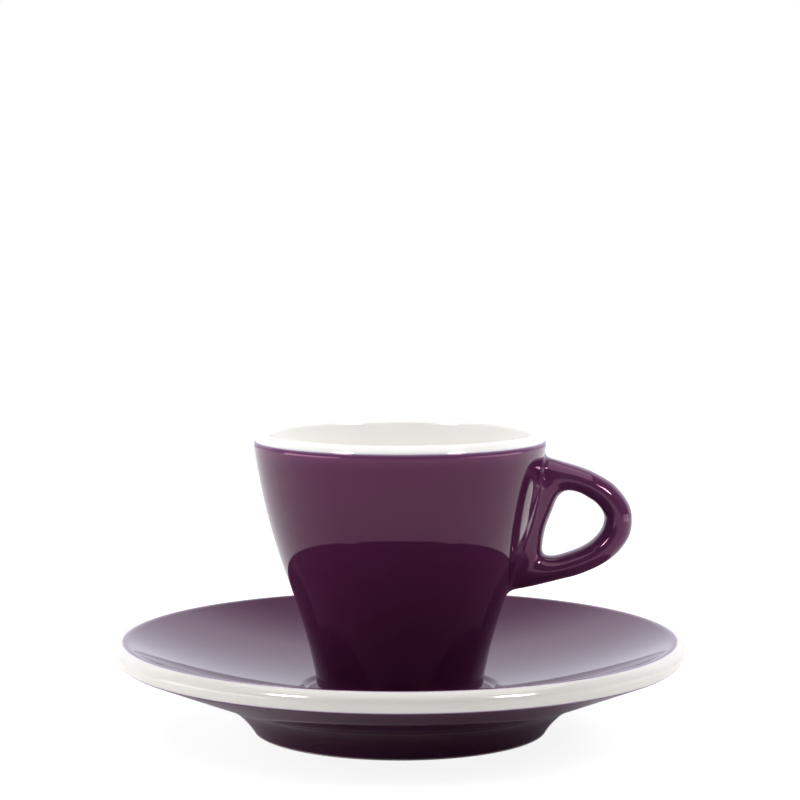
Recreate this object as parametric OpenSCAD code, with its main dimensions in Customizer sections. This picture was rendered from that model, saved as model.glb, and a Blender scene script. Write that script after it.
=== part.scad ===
// Espresso cup with a loop handle, standing in the well of its saucer.
// Millimetres. The origin is on the table under the middle of the saucer.
// +Z is up and the handle points to +X.
// Every round piece is a profile turned about Z, and the coats of glaze share the clay's own curves.

/* [Saucer] */
// Outside diameter of the saucer
saucer_d = 125; // [110:0.5:150]
// Height of the saucer's crest above the table
saucer_h = 20.4; // [19:0.1:24]
// Thickness of the rolled rim
rim_t = 4.8; // [4:0.1:6]
// Height of the well floor that the cup stands on
seat_h = 8.5; // [7.5:0.1:9.5]
// Depth of the well below the dish around it
well_depth = 0.9; // [0.5:0.1:1.5]
// Gap around the cup's foot on the floor of the well
well_clearance = 1.9; // [1:0.1:4]
// Slope of the dish where it leaves the well, in degrees
dish_slope = 8; // [5:0.5:10]
// Height at which the underside of the flange would meet the edge of the foot
flange_low = 3.6; // [2.4:0.1:6]
// Outside diameter of the foot on the table
saucer_foot_d = 64.4; // [58:0.2:70]
// Lean of the foot's wall at the table, in degrees from level
foot_wall_slope = 62; // [55:1:70]
// Width of the flat ring that stands on the table
saucer_ring_w = 2.2; // [1.5:0.1:3.5]
// Depth of the hollow inside the foot ring
saucer_hollow = 3; // [1.5:0.1:3.5]

/* [Cup] */
// Height of the cup from its foot to the top of its lip
cup_h = 56.9; // [52:0.1:64]
// Outside diameter of the lip
cup_rim_d = 63.6; // [60:0.1:70]
// Outside diameter of the foot
cup_foot_d = 36.8; // [33:0.1:39]
// Height of the straight band above the foot
foot_band_h = 4.3; // [3:0.1:6]
// Rounding under the edge of the foot
foot_round = 1.8; // [1:0.1:2.4]
// Lean of the wall just above the foot band, as a share of its lean from foot to lip
foot_lean_share = 0.74; // [0.5:0.01:0.85]
// Lean of the wall under the lip, as a share of its lean from foot to lip
lip_lean_share = 0.5; // [0.3:0.01:0.65]
// Thickness of the lip at its crest
lip_t = 2.4; // [2:0.1:3.2]
// Radius of the softer round on the outside of the lip
lip_round = 3; // [2:0.1:4]
// Thickness of the floor under the drink
cup_floor_t = 6; // [4:0.1:8]
// Radius of the round floor inside
bowl_r = 19; // [16:0.5:21]
// Width of the flat ring that the cup stands on
cup_ring_w = 3; // [2:0.1:5]
// Depth of the hollow under the cup
cup_hollow = 1.6; // [0.8:0.1:2.4]

/* [Handle] */
// Width of the finger opening, away from the cup
opening_w = 12.3; // [10:0.1:15]
// Height of the finger opening
opening_h = 14.4; // [13:0.1:16]
// Height of the opening's lowest point above the cup's foot
opening_up = 29.6; // [28:0.1:31]
// Thickness of the loop, seen from the side
loop_t = 5.8; // [4.8:0.1:6.8]
// Thickness of the leg between the cup's wall and the opening
leg_t = 4.3; // [3.2:0.1:5.2]
// Depth of the loop from front to back
loop_depth = 8.8; // [7:0.1:10]
// Spread of the fillet on each side of the leg, part of it sunk in the wall
fillet_w = 17; // [12:0.5:20]

/* [Glaze] */
// Thickness of the fired glaze
glaze_t = 0.4; // [0.25:0.05:0.5]

/* [Hidden] */
$fn = 180;

aubergine = "#4b2140";
white_glaze = "#f3f1ec";
bisque = "#e6dfd2";

// Steps along a long shallow arc and along a tight round
long_steps = 12;
round_steps = 8;

// Where the white band starts above the widest line of the rim, and ends below it, in degrees
band_top_turn = 78;
band_low_turn = -46;
// Where the cup's coat stops on the round under its foot, in degrees below level
cup_coat_turn = -55;
// Where the softer round of the lip meets its crest, and where the aubergine coat stops on it, in degrees
lip_round_turn = 30;
lip_coat_turn = 8;
// Steepest slope of the step round the well, in degrees
well_step_slope = 45;
// Bare height at the bottom of the saucer's foot, which is also its rounding
foot_bare_h = 0.25;
// Draft of the hollow under each foot, in from the standing ring
hollow_draft = 0.8;

// How far the handle's sections are sunk in the wall before the cup is cut away
root_depth = 0.9;
// The bare window in the outer coat where the handle is luted on the clay
lute_w = 7;
lute_h = 20;
// Overrun of the cutter for that window
overrun = 2;
// Points closer than this are one point
same_point = 0.001;

// Direction that leans out by a given angle below level, in the plane of a profile
function lean(a) = [cos(a), -sin(a)];
// Points of an arc about a centre, between two angles, in a number of steps
function arc(centre, radius, from, to, steps) =
    [for (i = [0:steps])
        let (turn = from + (to - from) * i / steps)
        centre + radius * [cos(turn), sin(turn)]];
function backwards(list) = [for (i = [len(list) - 1:-1:0]) list[i]];
// Several stretches in a row, with the points that two of them share taken once
function joined(points) =
    [for (i = [0:len(points) - 1])
        if (i == 0 || norm(points[i] - points[i - 1]) > same_point) points[i]];

// Saucer profile: rim circle, dish arc, flange cone and the cove of the foot
saucer_r = saucer_d / 2;
rim_r = rim_t / 2;
rim_centre = [saucer_r - rim_r, saucer_h - rim_r];
well_r = cup_foot_d / 2 + well_clearance;
step_r = well_depth / (1 + cos(dish_slope) - 2 * cos(well_step_slope));
dish_start = [well_r + step_r * (2 * sin(well_step_slope) - sin(dish_slope)), seat_h + well_depth];
dish_up = [-sin(dish_slope), cos(dish_slope)];
dish_reach = dish_start - rim_centre;
dish_r = (dish_reach * dish_reach - rim_r * rim_r) / (2 * (rim_r - dish_reach * dish_up));
dish_centre = dish_start + dish_r * dish_up;
dish_end_turn = atan2(dish_centre[1] - rim_centre[1], dish_centre[0] - rim_centre[0]);
saucer_foot_r = saucer_foot_d / 2;
flange_reach = rim_centre - [saucer_foot_r, flange_low];
flange_slope = atan2(flange_reach[1], flange_reach[0]) - asin(rim_r / norm(flange_reach));
flange_turn = flange_slope - 90;
cove_r = (flange_low - foot_bare_h) / (cos(flange_slope) - cos(foot_wall_slope)
    - tan(flange_slope) * (sin(foot_wall_slope) - sin(flange_slope)));
cove_centre = [saucer_foot_r, foot_bare_h] + cove_r * [sin(foot_wall_slope), -cos(foot_wall_slope)];

// Top of the saucer from the axis to the start of the white band, at a depth below the finished surface
function saucer_top(depth) = joined(concat(
    [[0, seat_h - depth]],
    arc([well_r, seat_h + step_r], step_r + depth, -90, well_step_slope - 90, round_steps),
    arc(dish_start - step_r * dish_up, step_r - depth, 90 + well_step_slope, 90 + dish_slope, round_steps),
    arc(dish_centre, dish_r + depth, dish_slope - 90, dish_end_turn - 180, long_steps),
    arc(rim_centre, rim_r - depth, dish_end_turn, band_top_turn, round_steps)));
// White band round the rim
function saucer_rim(depth) = arc(rim_centre, rim_r - depth, band_top_turn, band_low_turn, round_steps);
// Underside of the saucer from the band to the bare edge of the foot
function saucer_base(depth) = joined(concat(
    arc(rim_centre, rim_r - depth, band_low_turn, flange_turn, round_steps),
    arc(cove_centre, cove_r + depth, 90 + flange_slope, 90 + foot_wall_slope, long_steps)));

// Cup profile: standing ring, foot band, two arcs of one radius that make the S of the wall, lip and bowl
cup_foot_r = cup_foot_d / 2;
foot_round_centre = [cup_foot_r - foot_round, seat_h + foot_round];
lip_r = lip_t / 2;
lip_spare = max(0, lip_round - lip_r);
lip_centre = [cup_rim_d / 2 - lip_r - lip_spare * (1 - cos(lip_round_turn)), seat_h + cup_h - lip_r];
lip_round_centre = lip_centre - lip_spare * [cos(lip_round_turn), sin(lip_round_turn)];
wall_start = [cup_foot_r, seat_h + foot_band_h];
wall_lean = atan2(cup_rim_d / 2 - wall_start[0], lip_centre[1] - wall_start[1]);
foot_lean = wall_lean * foot_lean_share;
lip_lean = wall_lean * lip_lean_share;
wall_end = lip_round_centre + (lip_r + lip_spare) * lean(lip_lean);
wall_chord = wall_end - wall_start;
chord_lean = atan2(wall_chord[0], wall_chord[1]);
waist_lean = chord_lean + acos((cos(foot_lean - chord_lean) + cos(lip_lean - chord_lean)) / 2);
wall_r = wall_chord[1] / (2 * sin(waist_lean) - sin(foot_lean) - sin(lip_lean));
low_centre = wall_start + wall_r * lean(foot_lean);
waist = low_centre - wall_r * lean(waist_lean);
high_centre = waist - wall_r * lean(waist_lean);
bowl_centre = [0, seat_h + cup_floor_t + bowl_r];
bowl_start = lip_centre - lip_r * lean(lip_lean);
bowl_reach = bowl_start - bowl_centre;
bowl_wall_r = (bowl_reach * bowl_reach - bowl_r * bowl_r) / (2 * (bowl_reach * lean(lip_lean) - bowl_r));
bowl_wall_centre = bowl_start - bowl_wall_r * lean(lip_lean);
bowl_turn = atan2(bowl_centre[1] - bowl_wall_centre[1], bowl_centre[0] - bowl_wall_centre[0]);

// Outside of the cup from the edge of its coat under the foot to the lip, at a depth below the surface
function cup_outside(depth) = joined(concat(
    arc(foot_round_centre, foot_round - depth, cup_coat_turn, 0, round_steps),
    [[cup_foot_r - depth, wall_start[1]]],
    arc(low_centre, wall_r + depth, 180 - foot_lean, 180 - waist_lean, long_steps),
    arc(high_centre, wall_r - depth, -waist_lean, -lip_lean, long_steps),
    arc(lip_round_centre, lip_r + lip_spare - depth, -lip_lean, lip_coat_turn, round_steps)));
// Lip and inside of the cup, down to the middle of its floor
function cup_inside(depth) = joined(concat(
    arc(lip_round_centre, lip_r + lip_spare - depth, lip_coat_turn, lip_round_turn, round_steps),
    arc(lip_centre, lip_r - depth, lip_round_turn, 180 - lip_lean, 2 * round_steps),
    arc(bowl_wall_centre, bowl_wall_r + depth, -lip_lean, bowl_turn, long_steps),
    arc(bowl_centre, bowl_r + depth, bowl_turn, -90, long_steps)));
// Radius of the cup's finished wall at a height
function wall_at(z) = z > waist[1]
    ? high_centre[0] + sqrt(wall_r * wall_r - pow(z - high_centre[1], 2))
    : low_centre[0] - sqrt(wall_r * wall_r - pow(z - low_centre[1], 2));

// Handle sections in order round the loop. The opening is given across and up, as shares of its own size
opening_shares = [[0, 0.45], [0.03, 0.71], [0.06, 0.89], [0.13, 0.97], [0.23, 1], [0.57, 0.91],
    [0.79, 0.79], [0.97, 0.62], [0.99, 0.44], [0.91, 0.28], [0.76, 0.16], [0.56, 0.08], [0.32, 0.01],
    [0.15, 0.02], [0.07, 0.09], [0.02, 0.24]];
// Sections of the free arms, as the turn of each in degrees and a share of the loop's thickness
first_arm = 4;
arm_turns = [111, 74, 52, 20, -7, -22, -34, -52, -62, -107];
arm_shares = [1.18, 0.89, 0.88, 0.96, 1.14, 1.22, 1.21, 1.11, 1.04, 1.28];
// Heights of the sections of the root, which ends in the wall, as shares of the opening's height
root_shares = [0.45, 0.85, 1.32, 1.55, -0.55, -0.11];
// How far each section closes into an oval, and how far it spreads into the fillet
closed_shares = [0, 0, 0, 0.4, 1, 1, 1, 1, 1, 1, 1, 1, 1, 0.9, 0.4, 0];
fillet_shares = [1, 1, 0.75, 0.3, 0.1, 0, 0, 0, 0, 0, 0, 0, 0, 0.1, 0.3, 0.75];
steps_between = 4;
section_points = 24;

section_count = len(opening_shares);
arm_count = len(arm_turns);
opening_low = seat_h + opening_up;
function is_arm(i) = i >= first_arm && i < first_arm + arm_count;
function opening_point(i) =
    [leg_t + opening_w * opening_shares[i][0], opening_low + opening_h * opening_shares[i][1]];
function arm_point(i, n) =
    opening_point(i) + loop_t * arm_shares[n] * [cos(arm_turns[n]), sin(arm_turns[n])];
function root_point(n) = [-root_depth, opening_low + opening_h * root_shares[n]];
function outer_point(i) =
    is_arm(i) ? arm_point(i, i - first_arm) : root_point(i < first_arm ? i : i - arm_count);

openings = [for (i = [0:section_count - 1]) opening_point(i)];
outers = [for (i = [0:section_count - 1]) outer_point(i)];

// Smooth closed curve through a list of values, a share of the way past number i
function through(list, i, share) =
    let (n = len(list), a = list[(i + n - 1) % n], b = list[i], c = list[(i + 1) % n], d = list[(i + 2) % n])
    b + share / 2 * ((c - a) + share * ((2 * a - 5 * b + 4 * c - d) + share * (3 * b - a - 3 * c + d)));
// Half depth of a section at an angle round it: an oval nose on the opening, then an oval or a fillet
function half_depth(turn, closed, fillet) =
    let (side = abs(sin(turn)), past = max(0, -cos(turn)))
    cos(turn) >= 0 ? loop_depth / 2 * side
        : turn == 180 ? 0
        : loop_depth / 2 * (1 - closed * (1 - side)) + fillet_w * fillet * (1 - sqrt(1 - past * past));
// One ring of points, each so far out from the wall at its own height. The root bends round the wall
function section(i, share) =
    let (a = through(openings, i, share), b = through(outers, i, share),
        closed = max(0, min(1, through(closed_shares, i, share))),
        fillet = max(0, through(fillet_shares, i, share)))
    [for (k = [0:section_points - 1])
        let (turn = 360 * k / section_points, p = a + (b - a) * (1 - cos(turn)) / 2,
            side = (turn < 180 ? 1 : -1) * half_depth(turn, closed, fillet),
            reach = wall_at(p[1]) + p[0],
            bent = sqrt(reach * reach - side * side))
        [bent + (reach - bent) * closed, side, p[1]]];

// A profile between the finished surface and the clay, turned into a coat
module coat(finished, clay) {
    rotate_extrude()
        polygon(concat(finished, backwards(clay)));
}

// The cup filled solid up to the lip, at a depth below the finished surface
module filled_cup(depth) {
    outside = cup_outside(depth);
    rotate_extrude()
        polygon(concat([[0, outside[0][1]]], outside, [[0, outside[len(outside) - 1][1]]]));
}

// Round-ended window through the outer coat, where the handle meets the clay
module lute_window() {
    middle = opening_low + opening_h / 2;
    length = cup_rim_d / 2 + overrun;
    straight = lute_h - lute_w;
    translate([0, -lute_w / 2, middle - straight / 2])
        cube([length, lute_w, straight]);
    for (end = [-1, 1])
        translate([0, 0, middle + end * straight / 2])
            rotate([0, 90, 0])
                cylinder(h = length, d = lute_w);
}

// The loop as one skin over its sections
module loop() {
    rings = section_count * steps_between;
    points = [for (r = [0:rings - 1])
        each section(floor(r / steps_between), (r % steps_between) / steps_between)];
    faces = [for (r = [0:rings - 1], k = [0:section_points - 1])
        let (next = (r + 1) % rings, side = (k + 1) % section_points)
        each [[r * section_points + k, next * section_points + k, next * section_points + side],
            [r * section_points + k, next * section_points + side, r * section_points + side]]];
    polyhedron(points, faces);
}

// Porcelain plate of the saucer, bare on the ring that it stands on
module saucer_body() {
    ring_outer = saucer_foot_r - foot_bare_h;
    ring_inner = ring_outer - saucer_ring_w;
    color(bisque)
        rotate_extrude()
            polygon(joined(concat(
                saucer_top(glaze_t),
                saucer_rim(glaze_t),
                saucer_base(glaze_t),
                arc([ring_outer, foot_bare_h], foot_bare_h, 0, -90, round_steps),
                [[ring_inner, 0], [ring_inner - hollow_draft, saucer_hollow], [0, saucer_hollow]])));
}

// Aubergine glaze of the dish, the well and the crest
module saucer_top_glaze() {
    color(aubergine)
        coat(saucer_top(0), saucer_top(glaze_t));
}

// White band round the rolled rim
module saucer_rim_glaze() {
    color(white_glaze)
        coat(saucer_rim(0), saucer_rim(glaze_t));
}

// Aubergine glaze under the flange and down the foot
module saucer_base_glaze() {
    color(aubergine)
        coat(saucer_base(0), saucer_base(glaze_t));
}

// Porcelain wall and floor of the cup, bare on the ring that it stands on
module cup_body() {
    ring_outer = foot_round_centre[0];
    ring_inner = ring_outer - cup_ring_w;
    color(bisque)
        rotate_extrude()
            polygon(joined(concat(
                [[0, seat_h + cup_hollow]],
                [[ring_inner - hollow_draft, seat_h + cup_hollow]],
                [[ring_inner, seat_h]],
                arc(foot_round_centre, foot_round, -90, cup_coat_turn, round_steps),
                cup_outside(glaze_t),
                cup_inside(glaze_t))));
}

// White liner glaze of the bowl, which laps over the lip
module cup_inner_glaze() {
    color(white_glaze)
        coat(cup_inside(0), cup_inside(glaze_t));
}

// Aubergine glaze of the wall, left open where the handle is luted on
module cup_outer_glaze() {
    color(aubergine)
        difference() {
            coat(cup_outside(0), cup_outside(glaze_t));
            lute_window();
        }
}

// Loop handle, seated on the coat all round and on the clay inside the window
module cup_handle() {
    color(aubergine)
        difference() {
            loop();
            difference() {
                filled_cup(0);
                lute_window();
            }
            filled_cup(glaze_t);
        }
}

saucer_body();
saucer_top_glaze();
saucer_rim_glaze();
saucer_base_glaze();
cup_body();
cup_inner_glaze();
cup_outer_glaze();
cup_handle();
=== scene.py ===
# Espresso cup standing in the well of its saucer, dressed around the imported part.
# Metres in the part's own frame: origin on the table under the saucer, +Z up, the handle towards +X.
import math

import bmesh
import bpy
import numpy as np
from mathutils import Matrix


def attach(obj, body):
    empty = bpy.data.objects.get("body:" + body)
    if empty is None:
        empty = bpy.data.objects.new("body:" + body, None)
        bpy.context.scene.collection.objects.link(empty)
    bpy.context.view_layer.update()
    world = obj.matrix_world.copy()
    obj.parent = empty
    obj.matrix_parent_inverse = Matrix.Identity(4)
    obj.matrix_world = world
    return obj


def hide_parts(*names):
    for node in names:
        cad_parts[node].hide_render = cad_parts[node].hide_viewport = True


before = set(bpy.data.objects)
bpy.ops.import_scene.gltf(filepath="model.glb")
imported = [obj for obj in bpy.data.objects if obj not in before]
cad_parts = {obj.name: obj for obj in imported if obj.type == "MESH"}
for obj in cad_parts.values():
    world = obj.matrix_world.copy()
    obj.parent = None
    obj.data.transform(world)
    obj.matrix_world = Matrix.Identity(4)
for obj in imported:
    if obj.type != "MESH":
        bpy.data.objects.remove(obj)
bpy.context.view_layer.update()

# Saucer body: a plate pressed from porcelain clay on a plaster mould and fired white.
# The ring that stands on the table is left bare, and so is the hollow inside it.
# Sizes are in millimetres, and a profile is a list of points (radius, height).
MM = 0.001
AROUND = 192
SHARP_ANGLE = math.radians(50)
SAUCER_R = 62.5
SAUCER_H = 20.4
RIM_R = 2.4
SEAT_H = 8.5
WELL_R = 20.3
WELL_DEPTH = 0.9
WELL_STEP_SLOPE = 45
DISH_SLOPE = 8
FLANGE_LOW = 4.3
FOOT_R = 32.2
FOOT_WALL_SLOPE = 58
FOOT_BARE = 0.25
FOOT_RING_W = 2.2
HOLLOW_DEPTH = 3.0
HOLLOW_DRAFT = 0.8
HOLLOW_ROUND = 1.0
HOLLOW_TURN = 15
RING_ROUND = 0.3
BAND_TOP = 78
BAND_LOW = -46
GLAZE = 0.4
# The clay stops this far under the coats, so that no two skins lie in one place
CLAY_GAP = 0.02


def arc(centre, radius, start, end, steps):
    """Points on an arc between two angles in degrees."""
    turns = np.radians(np.linspace(start, end, steps + 1))
    return [(centre[0] + radius * math.cos(t), centre[1] + radius * math.sin(t)) for t in turns]


def slope_in(angle):
    """Unit normal of a surface that rises outwards by an angle."""
    return np.array([-math.sin(math.radians(angle)), math.cos(math.radians(angle))])


rim_centre = np.array([SAUCER_R - RIM_R, SAUCER_H - RIM_R])
step_r = WELL_DEPTH / (1 + math.cos(math.radians(DISH_SLOPE)) - 2 * math.cos(math.radians(WELL_STEP_SLOPE)))
dish_start = np.array([
    WELL_R + step_r * (2 * math.sin(math.radians(WELL_STEP_SLOPE)) - math.sin(math.radians(DISH_SLOPE))),
    SEAT_H + WELL_DEPTH,
])
dish_up = slope_in(DISH_SLOPE)
dish_reach = dish_start - rim_centre
dish_r = (dish_reach @ dish_reach - RIM_R**2) / (2 * (RIM_R - dish_reach @ dish_up))
dish_centre = dish_start + dish_r * dish_up
dish_end = math.degrees(math.atan2(dish_centre[1] - rim_centre[1], dish_centre[0] - rim_centre[0]))
flange_reach = rim_centre - np.array([FOOT_R, FLANGE_LOW])
flange_slope = math.degrees(
    math.atan2(flange_reach[1], flange_reach[0]) - math.asin(RIM_R / np.linalg.norm(flange_reach)))
flange_normal = slope_in(flange_slope)
foot_normal = slope_in(FOOT_WALL_SLOPE)
cove_r = (FLANGE_LOW - FOOT_BARE) / (
    flange_normal[1] - foot_normal[1]
    - math.tan(math.radians(flange_slope)) * (flange_normal[0] - foot_normal[0]))
cove_centre = np.array([FOOT_R, FOOT_BARE]) - cove_r * foot_normal


def saucer_top(depth):
    """From the middle of the well out over the dish to the start of the white band."""
    return (
        [(0.0, SEAT_H - depth)]
        + arc((WELL_R, SEAT_H + step_r), step_r + depth, -90, WELL_STEP_SLOPE - 90, 8)
        + arc(dish_start - step_r * dish_up, step_r - depth, 90 + WELL_STEP_SLOPE, 90 + DISH_SLOPE, 8)[1:]
        + arc(dish_centre, dish_r + depth, DISH_SLOPE - 90, dish_end - 180, 48)[1:]
        + arc(rim_centre, RIM_R - depth, dish_end, BAND_TOP, 12)[1:])


def saucer_rim(depth):
    """The white band round the rolled rim."""
    return arc(rim_centre, RIM_R - depth, BAND_TOP, BAND_LOW, 24)


def saucer_base(depth):
    """From the band in under the flange and down the cove to the bare edge of the foot."""
    return (
        arc(rim_centre, RIM_R - depth, BAND_LOW, flange_slope - 90, 12)
        + arc(cove_centre, cove_r + depth, 90 + flange_slope, 90 + FOOT_WALL_SLOPE, 32))


def linear(code):
    """sRGB hex to the linear colour that a shader takes."""
    parts = [int(code[i:i + 2], 16) / 255 for i in (1, 3, 5)]
    return [p / 12.92 if p <= 0.04045 else ((p + 0.055) / 1.055) ** 2.4 for p in parts] + [1.0]


def add(tree, kind, inputs=None, **settings):
    """Adds a node with its settings. An input is a value, or the output that it is linked to."""
    node = tree.nodes.new(kind)
    for key, value in settings.items():
        setattr(node, key, value)
    for key, value in (inputs or {}).items():
        if isinstance(value, bpy.types.NodeSocket):
            tree.links.new(value, node.inputs[key])
        else:
            node.inputs[key].default_value = value
    return node


def new_finish(name):
    """An empty material with one shader in it."""
    finish = bpy.data.materials.new(name)
    finish.use_nodes = True
    finish.node_tree.nodes.clear()
    shader = add(finish.node_tree, "ShaderNodeBsdfPrincipled")
    add(finish.node_tree, "ShaderNodeOutputMaterial", {"Surface": shader.outputs["BSDF"]})
    return finish, finish.node_tree, shader


# Bare fired porcelain: matt, warm white and finely gritty, a little darker where it has rubbed a table.
GRIT = 0.35
STAIN = 9.0
BUMP_H = 0.05
bisque, tree, shader = new_finish("bare_fired_porcelain")
place = add(tree, "ShaderNodeTexCoord").outputs["Object"]
stain = add(tree, "ShaderNodeTexNoise", {"Vector": place, "Scale": 1 / (STAIN * MM), "Detail": 4.0})
tint = add(tree, "ShaderNodeMix", {"Factor": stain.outputs["Fac"]}, data_type="RGBA")
tint.inputs["A"].default_value = linear("#e9e3d8")
tint.inputs["B"].default_value = linear("#dcd4c6")
tree.links.new(tint.outputs["Result"], shader.inputs["Base Color"])
grit = add(tree, "ShaderNodeTexNoise", {"Vector": place, "Scale": 1 / (GRIT * MM), "Detail": 2.0})
bump = add(tree, "ShaderNodeBump", {
    "Height": grit.outputs["Fac"], "Strength": 0.25, "Distance": BUMP_H * MM})
tree.links.new(bump.outputs["Normal"], shader.inputs["Normal"])
shader.inputs["Roughness"].default_value = 0.78

# Turning: a profile swept once round the upright axis, as the clay is on the wheel.
SEAM_WELD = 0.001
POINT_WELD = 0.0005
turning = bpy.data.node_groups.new("turned_on_the_wheel", "GeometryNodeTree")
socket = {}
for name, way, kind in (
        ("Profile", "INPUT", "NodeSocketGeometry"),
        ("Steps around", "INPUT", "NodeSocketInt"),
        ("Finish", "INPUT", "NodeSocketMaterial"),
        ("Turned piece", "OUTPUT", "NodeSocketGeometry")):
    socket[name] = turning.interface.new_socket(name, in_out=way, socket_type=kind).identifier
entry = add(turning, "NodeGroupInput")
profile_size = add(
    turning, "GeometryNodeAttributeDomainSize", {"Geometry": entry.outputs["Profile"]}, component="MESH")
columns = add(turning, "ShaderNodeMath", {0: entry.outputs["Steps around"], 1: 1.0}, operation="ADD")
last_row = add(
    turning, "ShaderNodeMath", {0: profile_size.outputs["Point Count"], 1: 1.0}, operation="SUBTRACT")
sheet = add(turning, "GeometryNodeMeshGrid", {
    "Size X": 1.0, "Size Y": 1.0,
    "Vertices X": columns.outputs[0], "Vertices Y": profile_size.outputs["Point Count"]})
position = add(turning, "GeometryNodeInputPosition").outputs[0]
across = add(turning, "ShaderNodeSeparateXYZ", {0: position})
angle = add(turning, "ShaderNodeMath", {0: across.outputs["X"], 1: 2 * math.pi}, operation="MULTIPLY")
share = add(turning, "ShaderNodeMath", {0: across.outputs["Y"], 1: 0.5}, operation="ADD")
far = add(turning, "ShaderNodeMath", {0: share.outputs[0], 1: last_row.outputs[0]}, operation="MULTIPLY")
row = add(turning, "ShaderNodeMath", {0: far.outputs[0]}, operation="ROUND")
point = add(turning, "GeometryNodeSampleIndex", data_type="FLOAT_VECTOR", domain="POINT")
thin_and_sheen_here = add(turning, "GeometryNodeInputNamedAttribute", {"Name": "thin_and_sheen"}, data_type="FLOAT")
thin_and_sheen = add(turning, "GeometryNodeSampleIndex", data_type="FLOAT", domain="POINT")
for sample, value in ((point, position), (thin_and_sheen, thin_and_sheen_here.outputs["Attribute"])):
    turning.links.new(entry.outputs["Profile"], sample.inputs["Geometry"])
    turning.links.new(value, sample.inputs["Value"])
    turning.links.new(row.outputs[0], sample.inputs["Index"])
flat = add(turning, "ShaderNodeSeparateXYZ", {0: point.outputs["Value"]})
cosine = add(turning, "ShaderNodeMath", {0: angle.outputs[0]}, operation="COSINE")
sine = add(turning, "ShaderNodeMath", {0: angle.outputs[0]}, operation="SINE")
east = add(turning, "ShaderNodeMath", {0: flat.outputs["X"], 1: cosine.outputs[0]}, operation="MULTIPLY")
north = add(turning, "ShaderNodeMath", {0: flat.outputs["X"], 1: sine.outputs[0]}, operation="MULTIPLY")
swept = add(turning, "ShaderNodeCombineXYZ", {
    "X": east.outputs[0], "Y": north.outputs[0], "Z": flat.outputs["Z"]})
marked = add(turning, "GeometryNodeStoreNamedAttribute", {
    "Geometry": sheet.outputs["Mesh"], "Name": "thin_and_sheen", "Value": thin_and_sheen.outputs["Value"]},
    data_type="FLOAT", domain="POINT")
moved = add(turning, "GeometryNodeSetPosition", {
    "Geometry": marked.outputs["Geometry"], "Position": swept.outputs["Vector"]})
closed = add(turning, "GeometryNodeMergeByDistance", {
    "Geometry": moved.outputs["Geometry"], "Distance": SEAM_WELD * MM})
finished = add(turning, "GeometryNodeSetMaterial", {
    "Geometry": closed.outputs["Geometry"], "Material": entry.outputs["Finish"]})
add(turning, "NodeGroupOutput", {"Turned piece": finished.outputs["Geometry"]})


def close_up(piece):
    """Turns every face of a closed piece outwards and shades it smooth, apart from its sharp edges."""
    work = bmesh.new()
    work.from_mesh(piece.data)
    bmesh.ops.remove_doubles(work, verts=work.verts, dist=POINT_WELD * MM)
    bmesh.ops.delete(work, geom=[e for e in work.edges if not e.link_faces], context="EDGES")
    bmesh.ops.recalc_face_normals(work, faces=work.faces)
    for face in work.faces:
        face.smooth = True
    work.to_mesh(piece.data)
    work.free()
    piece.data.set_sharp_from_angle(angle=SHARP_ANGLE)


def turned(name, profile, finish, thin_and_sheen=None):
    """A closed profile turned into a piece. thin_and_sheen runs from 0 to 1 where a coat thins out to its
    edge, and in the violet glaze it also drives painted sheen.
    """
    loop = list(profile) + [profile[0]]
    thin_and_sheen = [0.0] * len(profile) if thin_and_sheen is None else list(thin_and_sheen)
    line = bpy.data.meshes.new(name)
    line.from_pydata([(r * MM, 0, z * MM) for r, z in loop], [], [])
    line.attributes.new("thin_and_sheen", "FLOAT", "POINT").data.foreach_set("value", thin_and_sheen + [thin_and_sheen[0]])
    piece = bpy.data.objects.new(name, line)
    bpy.context.scene.collection.objects.link(piece)
    wheel = piece.modifiers.new("wheel", "NODES")
    wheel.node_group = turning
    wheel[socket["Steps around"]] = AROUND
    wheel[socket["Finish"]] = finish
    ready = piece.evaluated_get(bpy.context.evaluated_depsgraph_get())
    piece.data = bpy.data.meshes.new_from_object(ready)
    piece.modifiers.clear()
    close_up(piece)
    return piece


ring_outer = FOOT_R - FOOT_BARE
ring_inner = ring_outer - FOOT_RING_W
hollow_corner = (ring_inner - HOLLOW_DRAFT - HOLLOW_ROUND, HOLLOW_DEPTH - HOLLOW_ROUND)
under = GLAZE + CLAY_GAP
saucer_clay = turned(
    "saucer_clay",
    saucer_top(under) + saucer_rim(under) + saucer_base(under)
    + arc((ring_outer, FOOT_BARE), FOOT_BARE, 0, -90, 8)
    + arc((ring_inner + RING_ROUND, RING_ROUND), RING_ROUND, -90, HOLLOW_TURN - 180, 4)
    + arc(hollow_corner, HOLLOW_ROUND, HOLLOW_TURN, 90, 8)
    + [(0.0, HOLLOW_DEPTH)],
    bisque)
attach(saucer_clay, "saucer")
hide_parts("saucer_body")

# Saucer top coat: aubergine glaze on the dish and in the well that the cup stands in.
# It is slip brushed on the turning plate and melted to a glassy skin with a rounded edge.
EDGE_ROUND = 0.1
EDGE_FADE = 0.6
RUN_OFF_SHARE = 0.42
# Points are added this far from an edge, as long as they lie in the first step of its line
EDGE_POINTS = np.array([0.012, 0.03, 0.06, 0.1, 0.2, 0.35])
FIRST_STEP = 0.9


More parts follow.
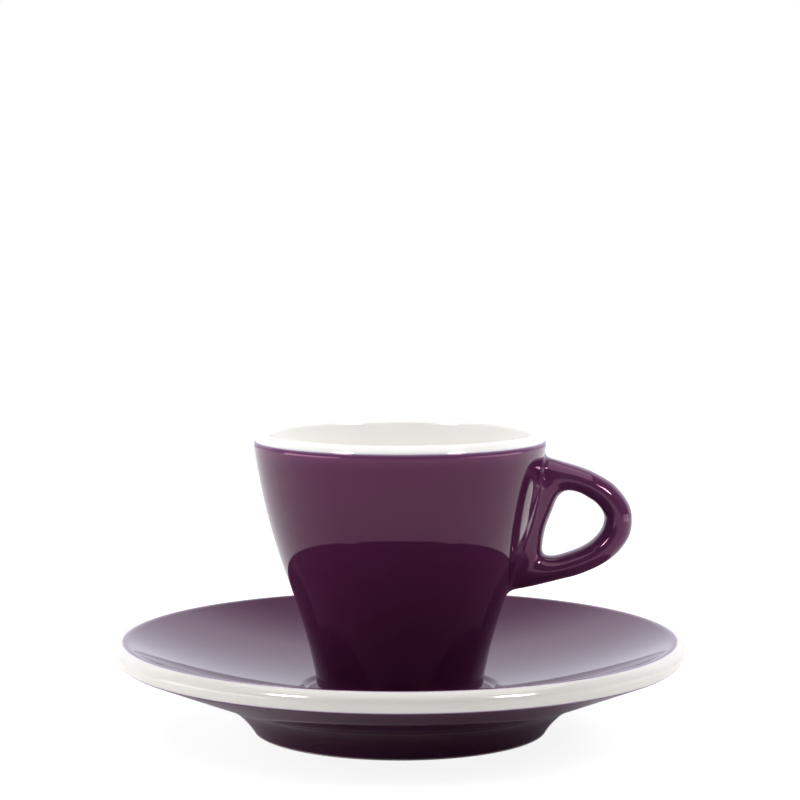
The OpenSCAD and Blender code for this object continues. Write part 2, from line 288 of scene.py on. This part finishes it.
def coat(name, line, finish, from_middle=False, run_off=0.0):
    """A shell of glaze on a line of the surface, rounded at its edges.

    Its colour thins out close to an edge, and more softly over the length run_off; in the violet coats the
    palest part at the edge is partly painted sheen.
    A line that starts on the axis, from_middle, has one edge only.
    """
    outer = np.array(line(0.0))
    inner = np.array(line(GLAZE))
    last = len(outer) - 1
    head = EDGE_POINTS / np.linalg.norm(outer[1] - outer[0])
    tail = EDGE_POINTS / np.linalg.norm(outer[-1] - outer[-2])
    places = np.sort(np.concatenate([
        np.arange(last + 1), head[head < FIRST_STEP], last - tail[tail < FIRST_STEP]]))
    outer, inner = [
        np.stack([np.interp(places, np.arange(last + 1), side[:, i]) for i in (0, 1)], 1)
        for side in (outer, inner)]
    run = np.concatenate([[0.0], np.cumsum(np.linalg.norm(np.diff(outer, axis=0), axis=1))])
    from_edge = run[-1] - run if from_middle else np.minimum(run, run[-1] - run)
    drop = EDGE_ROUND - np.sqrt(EDGE_ROUND**2 - np.maximum(0, EDGE_ROUND - from_edge) ** 2)
    skin = outer + (inner - outer) * (drop / GLAZE)[:, None]
    thin_and_sheen = np.clip(1 - from_edge / EDGE_FADE, 0, 1) ** 2
    if run_off:
        thin_and_sheen = np.maximum(thin_and_sheen, RUN_OFF_SHARE * np.clip(1 - from_edge / run_off, 0, 1) ** 2)
    return turned(
        name, [tuple(p) for p in skin] + [tuple(p) for p in inner[::-1]], finish,
        list(thin_and_sheen) + list(thin_and_sheen[::-1]))


# Aubergine glaze: a deep violet glass over white clay, mirror smooth with a faint orange peel.
# It clouds a little, breaks paler where it thins at an edge, and holds a few pale specks. Right at an edge it
# turns pale lavender grey: part thinnest glaze, part painted sheen over the shade of a rolled edge.
CLOUD = 6.0
PEEL = 2.2
PEEL_STRENGTH = 0.03
SPECK_GAP = 5.0
SPECK = 0.09
SPECK_CORE = 0.6
GLASS_IOR = 1.52
aubergine, tree, shader = new_finish("aubergine_glaze")
place = add(tree, "ShaderNodeTexCoord").outputs["Object"]
cloud = add(tree, "ShaderNodeTexNoise", {"Vector": place, "Scale": 1 / (CLOUD * MM), "Detail": 5.0})
body_tint = add(tree, "ShaderNodeMix", {"Factor": cloud.outputs["Fac"]}, data_type="RGBA")
body_tint.inputs["A"].default_value = linear("#3f1935")
body_tint.inputs["B"].default_value = linear("#461c3b")
edge = add(tree, "ShaderNodeAttribute", attribute_name="thin_and_sheen")
edge_tint = add(tree, "ShaderNodeMix", {"Factor": edge.outputs["Fac"]}, data_type="RGBA")
tree.links.new(body_tint.outputs["Result"], edge_tint.inputs["A"])
edge_tint.inputs["B"].default_value = linear("#8a4f80")
# Pale lavender grey at the very edge: part glaze break, part painted sheen over the shade of a rolled edge.
brink_and_sheen = add(tree, "ShaderNodeMapRange", {"Value": edge.outputs["Fac"], "From Min": 0.3, "From Max": 1.0})
brink_and_sheen_tint = add(tree, "ShaderNodeMix", {"Factor": brink_and_sheen.outputs["Result"]}, data_type="RGBA")
tree.links.new(edge_tint.outputs["Result"], brink_and_sheen_tint.inputs["A"])
brink_and_sheen_tint.inputs["B"].default_value = linear("#a29bb2")
cells = add(tree, "ShaderNodeTexVoronoi", {"Vector": place, "Scale": 1 / (SPECK_GAP * MM)})
speck = add(tree, "ShaderNodeMapRange", {
    "Value": cells.outputs["Distance"],
    "From Min": SPECK / SPECK_GAP * SPECK_CORE, "From Max": SPECK / SPECK_GAP,
    "To Min": 0.35, "To Max": 0.0})
speck_tint = add(tree, "ShaderNodeMix", {"Factor": speck.outputs["Result"]}, data_type="RGBA")
tree.links.new(brink_and_sheen_tint.outputs["Result"], speck_tint.inputs["A"])
speck_tint.inputs["B"].default_value = linear("#a98aa2")
tree.links.new(speck_tint.outputs["Result"], shader.inputs["Base Color"])
peel = add(tree, "ShaderNodeTexNoise", {"Vector": place, "Scale": 1 / (PEEL * MM), "Detail": 1.0})
bump = add(tree, "ShaderNodeBump", {
    "Height": peel.outputs["Fac"], "Strength": PEEL_STRENGTH, "Distance": BUMP_H * MM})
tree.links.new(bump.outputs["Normal"], shader.inputs["Normal"])
shader.inputs["Roughness"].default_value = 0.045
shader.inputs["Specular Tint"].default_value = linear("#ffbcdc")
shader.inputs["IOR"].default_value = GLASS_IOR

saucer_top_coat = coat("saucer_top_coat", saucer_top, aubergine, from_middle=True)
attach(saucer_top_coat, "saucer")
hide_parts("saucer_top_glaze")

# Saucer rim coat: white glaze in a band round the rolled rim, melted edge to edge with the violet coats.
# It is brushed on. Its white is painted a little greyer than the liner of the cup, as painted shade for the
# dimmer light on the band.


def white_glaze(name, light, shade, roughness):
    """White glaze: clear glass over white clay, so a warm milky white with a wet gloss."""
    finish, tree, shader = new_finish(name)
    place = add(tree, "ShaderNodeTexCoord").outputs["Object"]
    cloud = add(tree, "ShaderNodeTexNoise", {"Vector": place, "Scale": 1 / (2 * CLOUD * MM), "Detail": 3.0})
    body_tint = add(tree, "ShaderNodeMix", {"Factor": cloud.outputs["Fac"]}, data_type="RGBA")
    body_tint.inputs["A"].default_value = linear(light)
    body_tint.inputs["B"].default_value = linear(shade)
    edge = add(tree, "ShaderNodeAttribute", attribute_name="thin_and_sheen")
    edge_tint = add(tree, "ShaderNodeMix", {"Factor": edge.outputs["Fac"]}, data_type="RGBA")
    tree.links.new(body_tint.outputs["Result"], edge_tint.inputs["A"])
    edge_tint.inputs["B"].default_value = linear("#d0cdd6")
    tree.links.new(edge_tint.outputs["Result"], shader.inputs["Base Color"])
    peel = add(tree, "ShaderNodeTexNoise", {"Vector": place, "Scale": 1 / (PEEL * MM), "Detail": 1.0})
    bump = add(tree, "ShaderNodeBump", {
        "Height": peel.outputs["Fac"], "Strength": PEEL_STRENGTH, "Distance": BUMP_H * MM})
    tree.links.new(bump.outputs["Normal"], shader.inputs["Normal"])
    shader.inputs["Roughness"].default_value = roughness
    shader.inputs["IOR"].default_value = GLASS_IOR
    return finish


# A greyer copy of the white glaze: painted shade on the band.
white = white_glaze("band_glaze_painted_shade", "#dddad4", "#d9d5ce", 0.1)
saucer_rim_coat = coat("saucer_rim_coat", saucer_rim, white)
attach(saucer_rim_coat, "saucer")
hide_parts("saucer_rim_glaze")

# Saucer base coat: aubergine glaze under the flange and down the cove of the foot.
# It is brushed on the upturned plate and stops short of the bare ring.
saucer_base_coat = coat("saucer_base_coat", saucer_base, aubergine)
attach(saucer_base_coat, "saucer")
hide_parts("saucer_base_glaze")

# Cup body: a cup turned from the same porcelain, with a straight band above its foot and a flared wall.
# It stands on a bare ring around a shallow hollow, face to face with the well of the saucer.
CUP_H = 56.9
CUP_RIM_R = 31.8
CUP_FOOT_R = 18.4
FOOT_BAND_H = 2.7
CUP_FOOT_ROUND = 1.8
FOOT_LEAN_SHARE = 0.74
LIP_LEAN_SHARE = 0.5
LIP_R = 1.2
LIP_ROUND = 3.0
LIP_ROUND_TURN = 51
LIP_COAT_TURN = 18
CUP_FLOOR = 6.0
BOWL_R = 19.0
CUP_RING_W = 3.0
CUP_HOLLOW = 1.6
CUP_HOLLOW_ROUND = 0.6
COAT_END = -55


def leaning(angle):
    """Unit direction out of a wall that leans out by an angle from upright."""
    return np.array([math.cos(math.radians(angle)), -math.sin(math.radians(angle))])


foot_round_centre = np.array([CUP_FOOT_R - CUP_FOOT_ROUND, SEAT_H + CUP_FOOT_ROUND])
lip_way = np.array([math.cos(math.radians(LIP_ROUND_TURN)), math.sin(math.radians(LIP_ROUND_TURN))])
lip_centre = np.array([
    CUP_RIM_R - LIP_R - (LIP_ROUND - LIP_R) * (1 - lip_way[0]), SEAT_H + CUP_H - LIP_R])
lip_round_centre = lip_centre - (LIP_ROUND - LIP_R) * lip_way
wall_start = np.array([CUP_FOOT_R, SEAT_H + FOOT_BAND_H])
wall_lean = math.degrees(math.atan2(CUP_RIM_R - wall_start[0], lip_centre[1] - wall_start[1]))
foot_lean = wall_lean * FOOT_LEAN_SHARE
lip_lean = wall_lean * LIP_LEAN_SHARE
wall_chord = lip_round_centre + LIP_ROUND * leaning(lip_lean) - wall_start
chord_lean = math.degrees(math.atan2(wall_chord[0], wall_chord[1]))
waist_lean = chord_lean + math.degrees(math.acos(
    (math.cos(math.radians(foot_lean - chord_lean)) + math.cos(math.radians(lip_lean - chord_lean))) / 2))
wall_r = wall_chord[1] / (
    2 * math.sin(math.radians(waist_lean)) - math.sin(math.radians(foot_lean))
    - math.sin(math.radians(lip_lean)))
low_centre = wall_start + wall_r * leaning(foot_lean)
waist = low_centre - wall_r * leaning(waist_lean)
high_centre = waist - wall_r * leaning(waist_lean)
bowl_centre = np.array([0.0, SEAT_H + CUP_FLOOR + BOWL_R])
bowl_start = lip_centre - LIP_R * leaning(lip_lean)
bowl_reach = bowl_start - bowl_centre
bowl_wall_r = (bowl_reach @ bowl_reach - BOWL_R**2) / (2 * (bowl_reach @ leaning(lip_lean) - BOWL_R))
bowl_wall_centre = bowl_start - bowl_wall_r * leaning(lip_lean)
bowl_turn = math.degrees(math.atan2(
    bowl_centre[1] - bowl_wall_centre[1], bowl_centre[0] - bowl_wall_centre[0]))


def cup_outside(depth):
    """From the edge of the coat under the foot up the wall to the lip."""
    return (
        arc(foot_round_centre, CUP_FOOT_ROUND - depth, COAT_END, 0, 12)
        + [(CUP_FOOT_R - depth, wall_start[1])]
        + arc(low_centre, wall_r + depth, 180 - foot_lean, 180 - waist_lean, 40)[1:]
        + arc(high_centre, wall_r - depth, -waist_lean, -lip_lean, 40)[1:]
        + arc(lip_round_centre, LIP_ROUND - depth, -lip_lean, LIP_COAT_TURN, 8)[1:])


def cup_inside(depth):
    """Over the lip and down the bowl to the middle of its floor."""
    return (
        arc(lip_round_centre, LIP_ROUND - depth, LIP_COAT_TURN, LIP_ROUND_TURN, 10)
        + arc(lip_centre, LIP_R - depth, LIP_ROUND_TURN, 180 - lip_lean, 24)[1:]
        + arc(bowl_wall_centre, bowl_wall_r + depth, -lip_lean, bowl_turn, 40)[1:]
        + arc(bowl_centre, BOWL_R + depth, bowl_turn, -90, 32)[1:])


cup_ring_outer = foot_round_centre[0]
cup_ring_inner = cup_ring_outer - CUP_RING_W
cup_hollow_corner = (cup_ring_inner - HOLLOW_DRAFT - CUP_HOLLOW_ROUND, SEAT_H + CUP_HOLLOW - CUP_HOLLOW_ROUND)
cup_clay = turned(
    "cup_clay",
    [(0.0, SEAT_H + CUP_HOLLOW)]
    + arc(cup_hollow_corner, CUP_HOLLOW_ROUND, 90, HOLLOW_TURN, 6)
    + arc((cup_ring_inner + RING_ROUND, SEAT_H + RING_ROUND), RING_ROUND, 180 + HOLLOW_TURN, 270, 4)
    + arc(foot_round_centre, CUP_FOOT_ROUND, -90, COAT_END, 6)
    + cup_outside(under) + cup_inside(under),
    bisque)
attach(cup_clay, "cup")
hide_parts("cup_body")

# Cup liner: white glaze poured into the bowl and over the lip, and poured out again.
# Its white is painted whiter than the band of the saucer, as painted light for the bright wall inside the
# bowl.
# A whiter copy of the white glaze: painted light inside the bowl.
liner = white_glaze("liner_glaze_painted_light", "#f7f6f2", "#f5f3ee", 0.06)
cup_liner_coat = coat("cup_liner_coat", lambda depth: cup_inside(depth)[::-1], liner, from_middle=True)
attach(cup_liner_coat, "cup")
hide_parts("cup_inner_glaze")

# Cup outer coat: aubergine glaze on the outside, from the bare ring of the foot up to the liner.
# The two meet in a line just under the lip, where the violet runs thin.
RUN_OFF = 4.5
cup_outer_coat = coat("cup_outer_coat", cup_outside, aubergine, run_off=RUN_OFF)
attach(cup_outer_coat, "cup")
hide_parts("cup_outer_glaze")

# Handle: a loop cast in porcelain and luted on the wall with slip, then glazed with the cup.
# The slip is smoothed into long hollow fillets beside the leg, so the loop grows out of the wall.
# Its opening and its outline are seen from the front, as points (distance from the axis, height).
OPENING = [
    (31.95, 44.6), (33.35, 48.3), (34.4, 50.9), (35.62, 52.14), (36.93, 52.5), (38.9, 52.1),
    (40.74, 51.2), (43.1, 49.5), (44.6, 47.0), (44.2, 44.4), (42.48, 42.1), (40.1, 40.4),
    (37.25, 39.2), (34.03, 38.28), (31.98, 38.4), (31.25, 39.4), (31.35, 41.6)]
OUTLINE = [
    (26.7, 44.6), (28.0, 50.0), (29.2, 55.0), (29.6, 60.3), (32.6, 59.75), (36.0, 58.8),
    (39.6, 57.7), (43.2, 56.15), (47.2, 53.5), (50.35, 48.9), (50.55, 43.6), (48.2, 39.45),
    (44.6, 36.5), (39.4, 34.15), (34.9, 32.95), (29.5, 31.6), (25.0, 30.7), (21.6, 30.2),
    (23.6, 35.0), (25.2, 40.0)]
LOOP_DEPTH = 8.8
LOOP_MIN = 1.0
# The fillet is small at both ends of the leg and grows to its full size between these heights
FILLET = 5.2
ROOT_FILLET = 2.4
FILLET_LOW = (33.0, 38.5)
FILLET_HIGH = (53.5, 57.5)
SKIRT = 1.0
SUNK = 1.2
DIP = 0.015
# The whole handle is painted a little paler violet: painted sheen for the broad light that falls on it.
HANDLE_PAINTED_SHEEN = 0.18
# A flat sheet of distances to the two lines, which the field is read from
SHEET_CELL = 0.1
SHEET_LOW = np.array([19.0, 25.0])
SHEET_SIZE = (350, 390)
CHUNK = 4000
# The skin is found in cells of this box and then settled on the field in small steps
CELL = 0.35
HANDLE_LOW = (20, -17, 26)
HANDLE_HIGH = (53, 17, 63)
SETTLE_ROUNDS = 4
SETTLE_STEP = 0.15
PROBE = 0.01
FLAT_SLOPE = 0.05


def wall_at(height):
    """Radius of the cup's wall at a height."""
    high = high_centre[0] + np.sqrt(np.maximum(0, wall_r**2 - (height - high_centre[1]) ** 2))
    low = low_centre[0] - np.sqrt(np.maximum(0, wall_r**2 - (height - low_centre[1]) ** 2))
    return np.where(height > waist[1], high, low)


def smooth_loop(points, steps=12):
    """A closed smooth line through points."""
    p = np.array(points)
    a, b, c, d = np.roll(p, 1, 0), p, np.roll(p, -1, 0), np.roll(p, -2, 0)
    shares = np.arange(steps) / steps
    line = [
        b + s / 2 * ((c - a) + s * ((2 * a - 5 * b + 4 * c - d) + s * (3 * b - a - 3 * c + d)))
        for s in shares]
    return np.stack(line, 1).reshape(-1, 2)


def outside_by(points, line):
    """Distance of points from a closed line, negative inside it."""
    start, end = line, np.roll(line, -1, 0)
    step = end - start
    result = []
    for chunk in np.array_split(points, max(1, len(points) // CHUNK)):
        rel = chunk[:, None, :] - start[None]
        along = np.clip((rel * step).sum(2) / (step**2).sum(1), 0, 1)
        gap = np.linalg.norm(rel - along[..., None] * step, axis=2).min(1)
        rises = (start[None, :, 1] <= chunk[:, None, 1]) != (end[None, :, 1] <= chunk[:, None, 1])
        cross = start[None, :, 0] + (chunk[:, None, 1] - start[None, :, 1]) / np.where(
            step[None, :, 1] == 0, 1, step[None, :, 1]) * step[None, :, 0]
        inside = (rises & (cross > chunk[:, None, 0])).sum(1) % 2 == 1
        result.append(np.where(inside, -gap, gap))
    return np.concatenate(result)


def ramp(value, low, high):
    """Smooth rise from 0 to 1 between two values."""
    share = np.clip((value - low) / (high - low), 0, 1)
    return share * share * (3 - 2 * share)


sheet_points = SHEET_LOW + SHEET_CELL * np.stack(np.indices(SHEET_SIZE), -1).reshape(-1, 2)
sheet_gaps = np.stack([
    outside_by(sheet_points, smooth_loop(OPENING)),
    -outside_by(sheet_points, smooth_loop(OUTLINE))], -1).reshape(*SHEET_SIZE, 2)


def loop_gaps(flat):
    """Distances to the opening and to the outside of the loop, read between the points of the sheet."""
    place = np.clip((flat - SHEET_LOW) / SHEET_CELL, 0, np.array(SHEET_SIZE) - 1.001)
    cell = place.astype(int)
    x, z = (place - cell).T[..., None]
    i, k = cell.T
    return (
        sheet_gaps[i, k] * (1 - x) * (1 - z) + sheet_gaps[i + 1, k] * x * (1 - z)
        + sheet_gaps[i, k + 1] * (1 - x) * z + sheet_gaps[i + 1, k + 1] * x * z).T


def handle_field(points):
    """Negative inside the handle: the loop melted into the wall, down to its sunk root.

    Away from the loop the fillet dips just under the coat, so that it has no edge to be seen.
    """
    to_opening, to_outside = loop_gaps(points[:, [0, 2]])
    thick = np.maximum(to_opening + to_outside, LOOP_MIN)
    across = (to_opening - to_outside) / thick
    loop = (np.sqrt(across**2 + (2 * points[:, 1] / LOOP_DEPTH) ** 2) - 1) * thick / 2
    height = points[:, 2]
    wall = np.hypot(points[:, 0], points[:, 1]) - wall_at(height)
    share = ramp(height, *FILLET_LOW) * (1 - ramp(height, *FILLET_HIGH))
    fillet = ROOT_FILLET + (FILLET - ROOT_FILLET) * share
    near = np.maximum(fillet - np.abs(loop - wall), 0) / fillet
    melted = np.minimum(loop, wall) - near**3 * fillet / 6
    return np.maximum.reduce([melted + DIP, -(wall + SUNK), loop - fillet - SKIRT])


def skin_of(field, low, high, cell):
    """Closed mesh of the surface where a field is zero, one point to each cell that it cuts."""
    axes = [np.arange(a, b + cell, cell) for a, b in zip(low, high)]
    grid = np.stack(np.meshgrid(*axes, indexing="ij"), -1)
    shape = grid.shape[:3]
    value = field(grid.reshape(-1, 3)).reshape(shape)
    inside = value < 0
    total = np.zeros([n - 1 for n in shape] + [3])
    count = np.zeros([n - 1 for n in shape])
    corners = [(i, j, k) for i in (0, 1) for j in (0, 1) for k in (0, 1)]

    def part(array, corner):
        return array[tuple(slice(c, n - 1 + c) for c, n in zip(corner, shape))]

    for a in corners:
        for b in corners:
            if sum(x != y for x, y in zip(a, b)) == 1 and a < b:
                cut = part(inside, a) != part(inside, b)
                va, vb = part(value, a), part(value, b)
                share = np.where(cut, va / np.where(cut, va - vb, 1), 0)
                spot = part(grid, a) + share[..., None] * (part(grid, b) - part(grid, a))
                total += np.where(cut[..., None], spot, 0)
                count += cut
    used = count > 0
    number = np.full(used.shape, -1)
    number[used] = np.arange(used.sum())
    points = total[used] / count[used][:, None]
    faces = []
    for axis in range(3):
        u, v = [n for n in range(3) if n != axis]
        first = np.take(inside, range(shape[axis] - 1), axis)
        second = np.take(inside, range(1, shape[axis]), axis)
        spots = np.argwhere(first != second)
        spots = spots[(spots[:, u] > 0) & (spots[:, v] > 0)
                      & (spots[:, u] < shape[u] - 1) & (spots[:, v] < shape[v] - 1)]
        ring = []
        for du, dv in ((1, 1), (0, 1), (0, 0), (1, 0)):
            cells = spots.copy()
            cells[:, u] -= du
            cells[:, v] -= dv
            ring.append(number[tuple(cells.T)])
        faces.append(np.stack(ring, 1))
    return points, np.concatenate(faces)


points, faces = skin_of(handle_field, HANDLE_LOW, HANDLE_HIGH, CELL)
for _ in range(SETTLE_ROUNDS):
    value = handle_field(points)
    slope = np.stack([
        (handle_field(points + step) - handle_field(points - step)) / (2 * PROBE)
        for step in PROBE * np.eye(3)], 1)
    move = -value / np.maximum((slope**2).sum(1), FLAT_SLOPE)
    points = points + np.clip(move, -SETTLE_STEP, SETTLE_STEP)[:, None] * slope
mesh = bpy.data.meshes.new("cup_handle_loop")
mesh.from_pydata((points * MM).tolist(), [], faces.tolist())
# The paler violet of the handle is painted sheen, stored with the edge colour of the coats.
thin_and_sheen = mesh.attributes.new("thin_and_sheen", "FLOAT", "POINT")
thin_and_sheen.data.foreach_set("value", [HANDLE_PAINTED_SHEEN] * len(points))
mesh.materials.append(aubergine)
handle = bpy.data.objects.new("cup_handle_loop", mesh)
bpy.context.scene.collection.objects.link(handle)
close_up(handle)
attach(handle, "cup")
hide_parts("cup_handle")

# Floor and light: a white table before a white wall, in a room that is dark behind the camera.
# A large box hangs above, and cards at two heights light both sides. Two round spots beside the camera
# leave the small highlights on the lip, the band and the handle.
FLOOR_SIDE = 1.6
FLOOR_BACK = 0.5
FLOOR_FADE = 0.6
FLOOR_GLOW = 1.45
WALL_LIGHT = 1.4
CEILING_LIGHT = 0.6
FOOT_SHARE = 0.65
ROOM_SHARE = 0.08
WALL_TOP = (0.56, 0.74)
WALL_FOOT = (-0.06, 0.1)
WALL_SIDE = (0.25, 0.65)
AIM_H = 0.035
floor_mesh = bpy.data.meshes.new("floor")
floor_mesh.from_pydata([
    (-FLOOR_SIDE, -FLOOR_SIDE, 0.0), (FLOOR_SIDE, -FLOOR_SIDE, 0.0),
    (FLOOR_SIDE, FLOOR_BACK, 0.0), (-FLOOR_SIDE, FLOOR_BACK, 0.0)], [], [(0, 1, 2, 3)])
floor = bpy.data.objects.new("floor", floor_mesh)
bpy.context.scene.collection.objects.link(floor)

# White paper that the camera sees lightened, so that only the soft shadow of the saucer stays on it.
table = bpy.data.materials.new("white_table")
table.use_nodes = True
tree = table.node_tree
tree.nodes.clear()
seen = add(tree, "ShaderNodeLightPath").outputs
paper = add(tree, "ShaderNodeBsdfDiffuse", {"Color": linear("#f8f8f7")})
glow = add(tree, "ShaderNodeEmission", {"Color": linear("#ffffff"), "Strength": FLOOR_GLOW})
fade = add(tree, "ShaderNodeMath", {0: seen["Is Camera Ray"], 1: FLOOR_FADE}, operation="MULTIPLY")
both = add(tree, "ShaderNodeMixShader", {0: fade.outputs[0], 1: paper.outputs[0], 2: glow.outputs[0]})
add(tree, "ShaderNodeOutputMaterial", {"Surface": both.outputs[0]})
floor_mesh.materials.append(table)

# The wall shines from behind, fainter at its foot and towards the ceiling. The camera sees plain white.
world = bpy.data.worlds.new("white_studio")
bpy.context.scene.world = world
world.use_nodes = True
tree = world.node_tree
tree.nodes.clear()
seen = add(tree, "ShaderNodeLightPath").outputs
way = add(tree, "ShaderNodeSeparateXYZ", {0: add(tree, "ShaderNodeTexCoord").outputs["Generated"]}).outputs
wall = add(tree, "ShaderNodeMapRange", {
    "Value": way["Z"], "From Min": WALL_TOP[0], "From Max": WALL_TOP[1],
    "To Min": WALL_LIGHT, "To Max": CEILING_LIGHT}).outputs[0]
foot = add(tree, "ShaderNodeMapRange", {
    "Value": way["Z"], "From Min": WALL_FOOT[0], "From Max": WALL_FOOT[1],
    "To Min": FOOT_SHARE, "To Max": 1.0}).outputs[0]
room = add(tree, "ShaderNodeMapRange", {
    "Value": way["Y"], "From Min": WALL_SIDE[0], "From Max": WALL_SIDE[1],
    "To Min": ROOM_SHARE, "To Max": 1.0}).outputs[0]
wall = add(tree, "ShaderNodeMath", {0: wall, 1: foot}, operation="MULTIPLY").outputs[0]
wall = add(tree, "ShaderNodeMath", {0: wall, 1: room}, operation="MULTIPLY").outputs[0]
level = add(tree, "ShaderNodeMix", {0: seen["Is Camera Ray"], 2: wall, 3: 1.0}, data_type="FLOAT")
tint = add(tree, "ShaderNodeMix", {"Factor": seen["Is Camera Ray"]}, data_type="RGBA")
tint.inputs["A"].default_value = linear("#f1f2ff")
tint.inputs["B"].default_value = linear("#ffffff")
sky = add(tree, "ShaderNodeBackground", {"Color": tint.outputs["Result"], "Strength": level.outputs[0]})
add(tree, "ShaderNodeOutputWorld", {"Surface": sky.outputs[0]})


def lamp(name, turn, rise, distance, width, height, power, shape="RECTANGLE"):
    """A soft lamp that looks at the cup. turn is in degrees to the right of the camera."""
    light = bpy.data.lights.new(name, "AREA")
    light.shape = shape
    light.size = width
    light.size_y = height
    light.energy = power
    holder = bpy.data.objects.new(name, light)
    a, e = math.radians(turn), math.radians(rise)
    away = np.array([math.sin(a) * math.cos(e), -math.cos(a) * math.cos(e), math.sin(e)])
    holder.location = np.array([0.0, 0.0, AIM_H]) + away * distance
    holder.rotation_euler = (math.radians(90) - e, 0.0, a)
    bpy.context.scene.collection.objects.link(holder)
    return holder


lamp("box_above", turn=0, rise=86, distance=1.2, width=1.6, height=1.6, power=15.2)
for name, turn, rise, power in (("card_left", -94, 24, 4.2), ("card_right", 100, 34, 4.6)):
    card = lamp(name, turn, rise, distance=1.0, width=1.2, height=0.26, power=power)
    card.visible_glossy = False
for name, turn, power in (("low_card_left", -72, 0.36), ("low_card_right", 80, 0.2)):
    lamp(name, turn, rise=0, distance=0.42, width=0.42, height=0.065, power=power)
for name, turn, power in (("spot_left", -48, 3.6), ("spot_right", 48, 3.0)):
    spot = lamp(name, turn, rise=33, distance=0.7, width=0.17, height=0.17, power=power, shape="DISK")
    spot.visible_diffuse = False

# A narrow lamp over the camera reaches into the bowl and brightens the wall that faces the camera.
SNOOT_FROM = np.array([0.10, -0.50, 0.42])
SNOOT_TO = np.array([-0.006, 0.028, 0.062])
snoot_data = bpy.data.lights.new("snoot", "SPOT")
snoot_data.energy = 6.5
snoot_data.spot_size = math.radians(4.6)
snoot_data.spot_blend = 1.0
snoot_data.shadow_soft_size = 0.03
snoot = bpy.data.objects.new("snoot", snoot_data)
snoot.location = SNOOT_FROM
back = SNOOT_FROM - SNOOT_TO
tip = math.atan2(math.hypot(back[0], back[1]), back[2])
snoot.rotation_euler = (tip, 0.0, math.atan2(back[0], -back[1]))
snoot.visible_glossy = False
bpy.context.scene.collection.objects.link(snoot)

# Camera: straight before the cup and a little above it, with a long lens.
CAMERA_AT = (0.0, -0.530, 0.117)
CAMERA_DIP = 0.084
camera_data = bpy.data.cameras.new("camera")
camera_data.sensor_width = 36.0
camera_data.lens = 109.8
camera = bpy.data.objects.new("camera", camera_data)
camera.location = CAMERA_AT
camera.rotation_euler = (math.radians(90) - CAMERA_DIP, 0.0, 0.0)
bpy.context.scene.collection.objects.link(camera)
bpy.context.scene.camera = camera

bpy.context.scene.view_settings.view_transform = "Standard"
